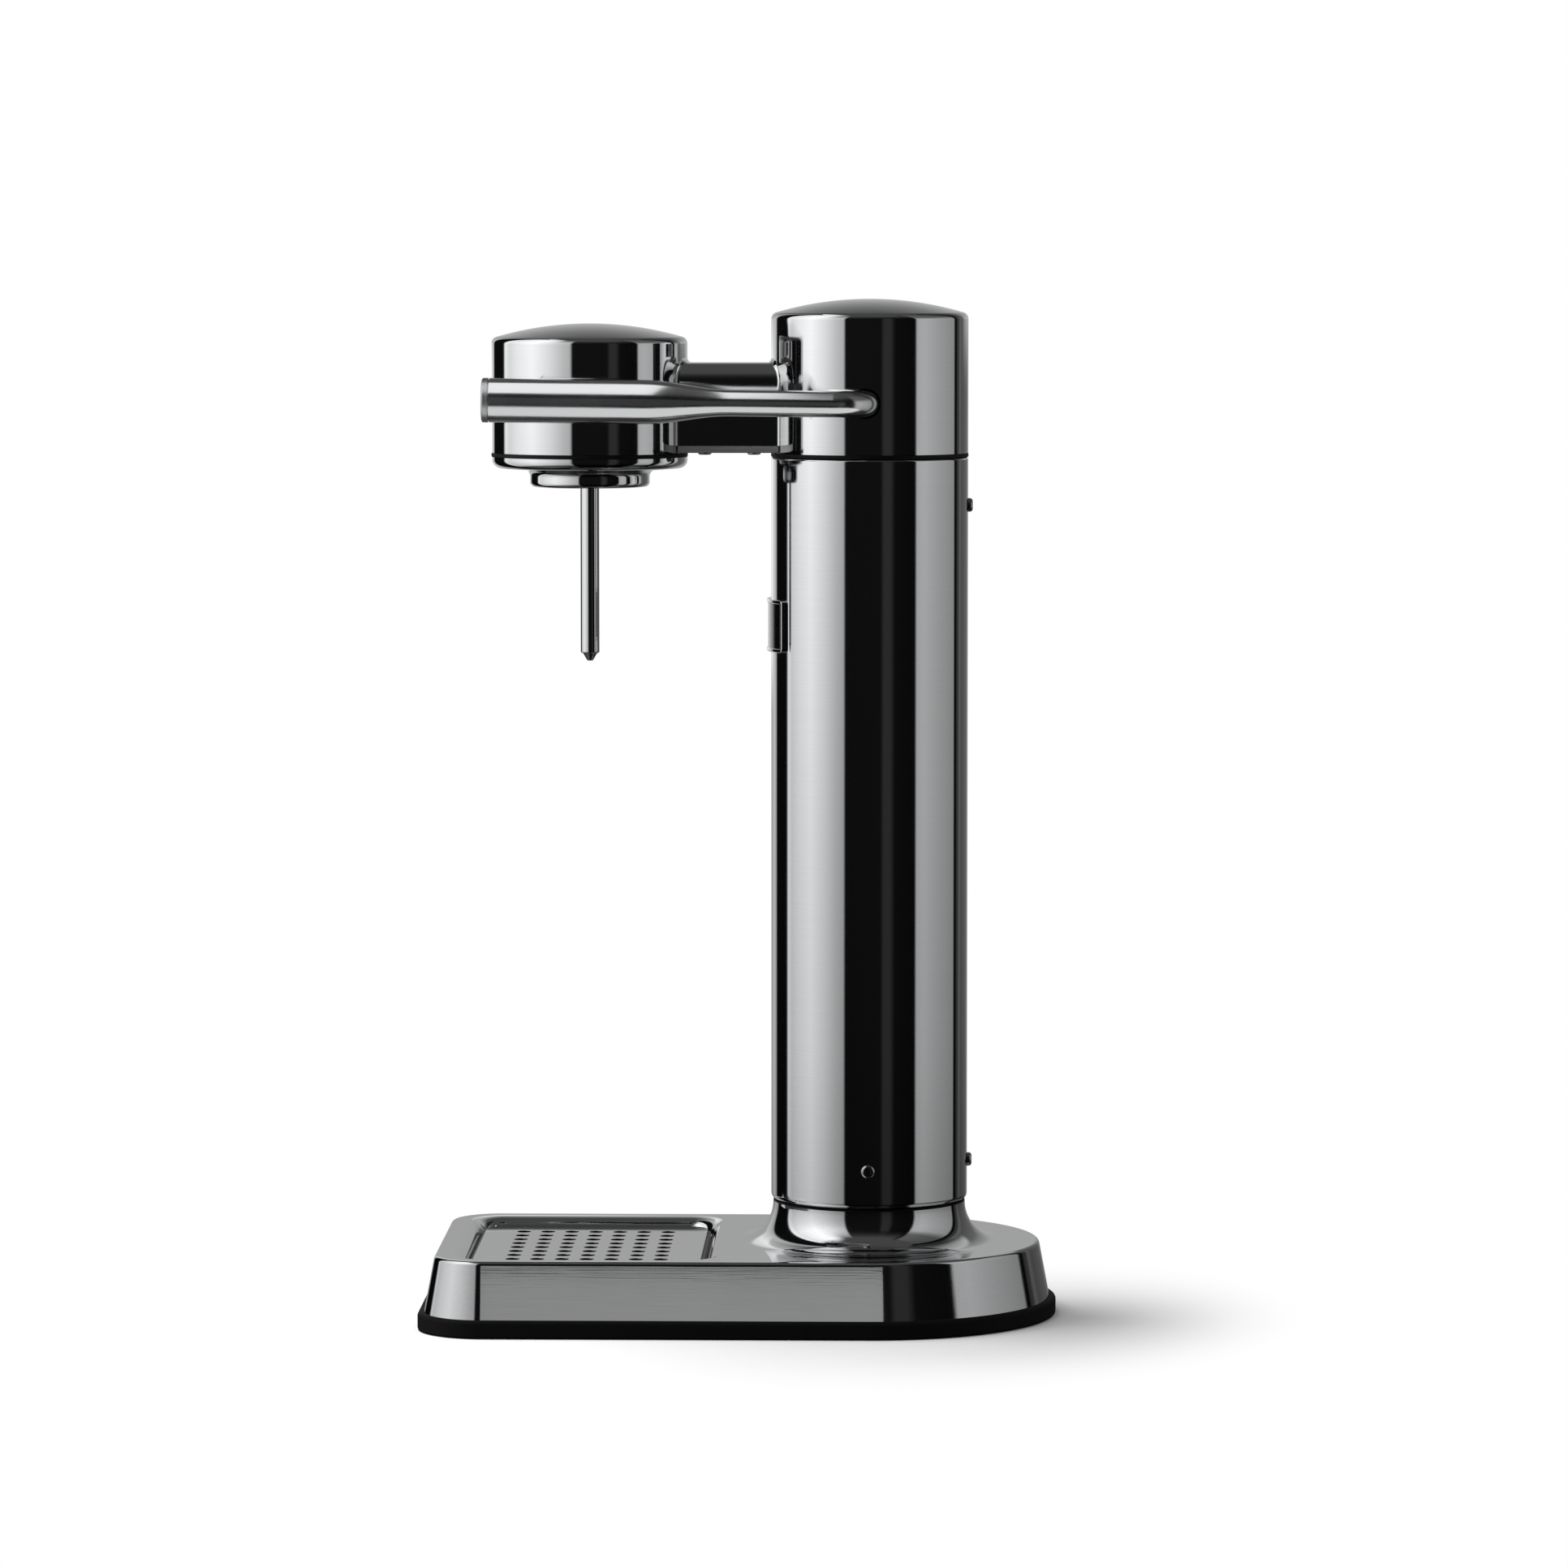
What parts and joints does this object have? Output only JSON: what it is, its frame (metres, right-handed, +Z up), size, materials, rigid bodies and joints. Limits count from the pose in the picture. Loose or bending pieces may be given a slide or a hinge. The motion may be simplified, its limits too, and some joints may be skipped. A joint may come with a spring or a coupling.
{
  "type": "sparkling water maker",
  "caption": "Sparkling water maker with a polished steel column, an overhanging bottle head, a pull-down side lever and a drip tray in its long foot.",
  "frame": {"origin": "on the table, under the middle of the foot's footprint", "axes": "+Z up, the bottle head points along -X, the lever is on the -Y side"},
  "size_m": [0.258, 0.153, 0.414],
  "materials": {
    "polished_steel": "mirror-polished stainless steel",
    "satin_steel": "fine satin-brushed stainless steel",
    "plate_steel": "sheet stainless steel, polished, drilled",
    "fastener_steel": "bright stainless fastener steel",
    "spring_steel": "drawn spring wire",
    "foot_rubber": "matte black rubber",
    "seal_rubber": "black gasket rubber",
    "black_plastic": "fine-grained black moulded plastic",
    "brass": "machined brass",
    "bush_bronze": "sintered bronze",
    "cast_aluminium": "die-cast aluminium with a fine sand texture",
    "cylinder_aluminium": "spun aluminium with faint turning lines"
  },
  "bodies": {
    "root": {"base_shell": "polished_steel", "foot_ring": "foot_rubber", "base_plate": "black_plastic", "base_screws": "fastener_steel", "neck_gasket": "seal_rubber", "lower_ring": "black_plastic", "ring_nut": "black_plastic", "column_tube": "polished_steel", "rear_screws": "fastener_steel", "side_screws": "fastener_steel", "badge_plate": "satin_steel", "column_gasket": "seal_rubber", "upper_frame": "cast_aluminium", "upper_housing": "polished_steel", "housing_screws": "fastener_steel", "bridge_cover": "polished_steel", "bridge_screws": "fastener_steel", "head_gasket": "seal_rubber", "nozzle_cover": "polished_steel", "bottle_socket": "black_plastic", "bottle_seal": "seal_rubber", "nozzle_block": "brass", "nozzle_screws": "fastener_steel", "carbonation_tube": "satin_steel", "tube_nozzle": "satin_steel", "relief_valve": "brass", "relief_spring": "spring_steel", "burst_plug": "brass", "gas_pipe": "brass", "pipe_nuts": "brass", "valve_housing": "brass", "valve_screws": "fastener_steel", "cylinder_seal": "seal_rubber", "plunger_seal": "seal_rubber", "plunger_spring": "spring_steel", "lever_bushes": "bush_bronze"},
    "lever": {"lever_arm": "satin_steel", "lever_end_cap": "satin_steel", "lever_cam": "fastener_steel", "cam_pin": "fastener_steel", "lever_clip": "spring_steel"},
    "valve_plunger": {"valve_plunger": "satin_steel"},
    "gas_cylinder": {"gas_cylinder": "cylinder_aluminium", "cylinder_valve": "brass"},
    "cylinder_pin": {"cylinder_pin": "fastener_steel"},
    "relief_poppet": {"relief_poppet": "brass"},
    "drip_tray": {"drip_tray": "black_plastic"},
    "drip_plate": {"drip_plate": "plate_steel"}
  },
  "joints": [
    {"name": "lever_pull", "type": "hinge", "parent": "root", "child": "lever", "pos_m": [0.0512, 0, 0.3724], "axis": [0, -1, 0], "range_deg": [0, 45], "stiffness_Nm_per_rad": 0.6, "springref_deg": -51.57},
    {"name": "valve_press", "type": "slide", "parent": "root", "child": "valve_plunger", "axis": [0, 0, -1], "range_m": [0, 0.0032], "deforming": ["plunger_spring"]},
    {"name": "cylinder_out", "type": "slide", "parent": "root", "child": "gas_cylinder", "axis": [0, 0, -1], "range_m": [0, 0.355]},
    {"name": "cylinder_pin_press", "type": "slide", "parent": "gas_cylinder", "child": "cylinder_pin", "axis": [0, 0, -1], "range_m": [0, 0.0032]},
    {"name": "relief_lift", "type": "slide", "parent": "root", "child": "relief_poppet", "axis": [0, 0, 1], "range_m": [0, 0.0015], "stiffness_N_per_m": 2000, "springref_m": -0.002, "deforming": ["relief_spring"]},
    {"name": "tray_lift", "type": "slide", "parent": "root", "child": "drip_tray", "axis": [0, 0, 1], "range_m": [0, 0.06]},
    {"name": "plate_lift", "type": "slide", "parent": "drip_tray", "child": "drip_plate", "axis": [0, 0, 1], "range_m": [0, 0.04]}
  ],
  "couplings": [
    {"joint": "valve_press", "follows": "lever_pull", "m_per_rad": 0.004074},
    {"joint": "cylinder_pin_press", "follows": "lever_pull", "m_per_rad": 0.004074}
  ]
}
